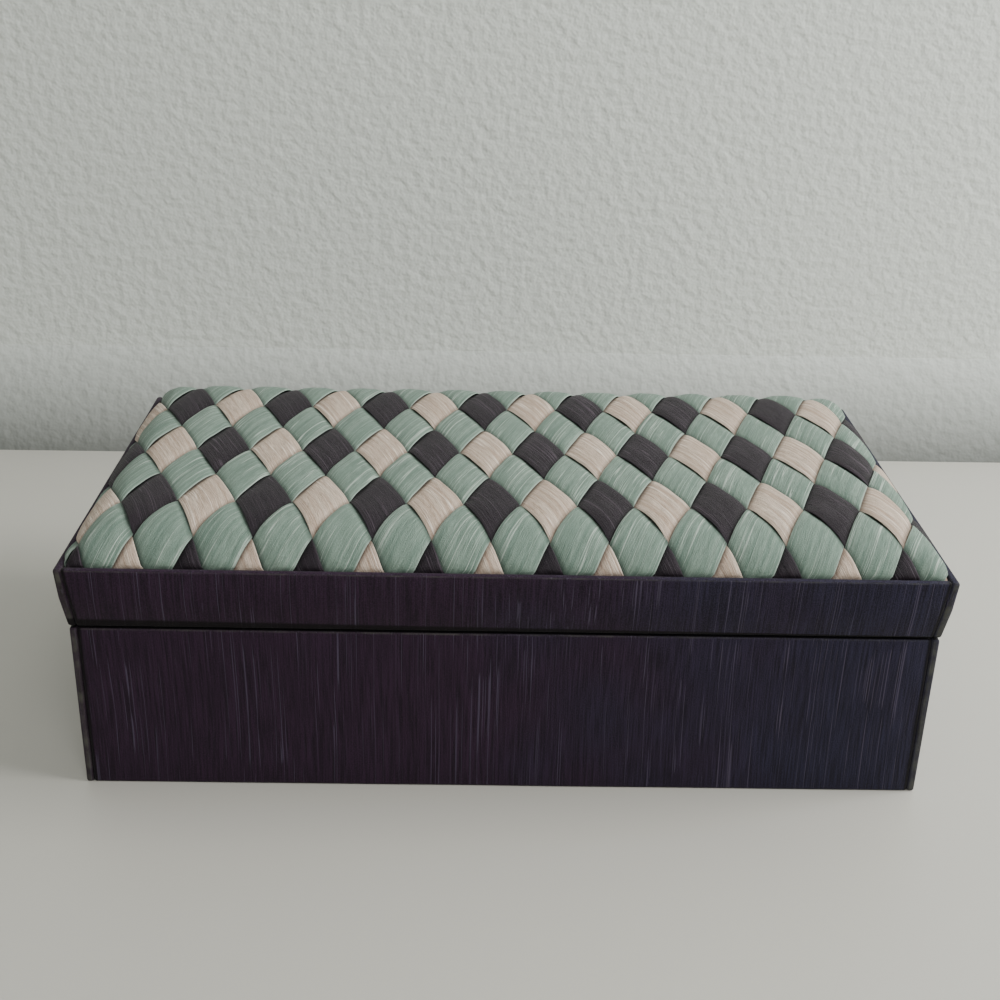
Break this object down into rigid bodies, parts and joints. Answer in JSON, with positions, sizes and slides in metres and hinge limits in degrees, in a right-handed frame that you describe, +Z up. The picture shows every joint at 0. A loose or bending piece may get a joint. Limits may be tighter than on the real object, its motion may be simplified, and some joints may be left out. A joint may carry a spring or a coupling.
{
  "type": "fabric-covered keepsake box",
  "caption": "Rectangular silk-covered keepsake box with a hinged lid, a padded basket-woven silk top and a satin-lined tray.",
  "frame": {"origin": "centre of the underside, on the surface the box stands on", "axes": "+X along the box's length to its right, -Y towards the viewer, +Z up"},
  "size_m": [0.285, 0.157, 0.0925],
  "materials": {
    "plum_silk": "slubbed silk, dark plum to midnight blue, matt",
    "mint_silk": "slubbed silk, grey mint, soft sheen",
    "cream_silk": "slubbed silk, pinkish cream, soft sheen",
    "charcoal_silk": "slubbed silk, charcoal with a plum cast, matt",
    "lining_satin": "plain satin, muted mint, soft sheen",
    "greyboard": "uncoated greyboard",
    "wadding": "cotton wadding",
    "base_paper": "dark uncoated paper"
  },
  "bodies": {
    "tray": {"tray_left_board": "greyboard", "tray_left_silk": "plum_silk", "tray_right_board": "greyboard", "tray_right_silk": "plum_silk", "tray_front_board": "greyboard", "tray_front_silk": "plum_silk", "tray_back_board": "greyboard", "tray_back_silk": "plum_silk", "base_paper": "base_paper", "base_board": "greyboard", "lining_left_card": "greyboard", "lining_left_satin": "lining_satin", "lining_right_card": "greyboard", "lining_right_satin": "lining_satin", "lining_front_card": "greyboard", "lining_front_satin": "lining_satin", "lining_back_card": "greyboard", "lining_back_satin": "lining_satin", "floor_card": "greyboard", "floor_wadding": "wadding", "floor_satin": "lining_satin", "cloth_hinge": "plum_silk"},
    "lid": {"lid_left_board": "greyboard", "lid_left_silk": "plum_silk", "lid_right_board": "greyboard", "lid_right_silk": "plum_silk", "lid_front_board": "greyboard", "lid_front_silk": "plum_silk", "lid_back_board": "greyboard", "lid_back_silk": "plum_silk", "lid_lining_left_card": "greyboard", "lid_lining_left_satin": "lining_satin", "lid_lining_right_card": "greyboard", "lid_lining_right_satin": "lining_satin", "lid_lining_front_card": "greyboard", "lid_lining_front_satin": "lining_satin", "lid_lining_back_card": "greyboard", "lid_lining_back_satin": "lining_satin", "lid_panel_board": "greyboard", "lid_ceiling_card": "greyboard", "lid_ceiling_satin": "lining_satin", "lid_wadding": "wadding", "mint_strips": "mint_silk", "cream_strips": "cream_silk", "charcoal_strips": "charcoal_silk"}
  },
  "joints": [
    {"name": "lid_hinge", "type": "hinge", "parent": "tray", "child": "lid", "pos_m": [0, 0.07625, 0.0594], "axis": [-1, 0, 0], "range_deg": [0, 170], "deforming": ["cloth_hinge"]}
  ]
}
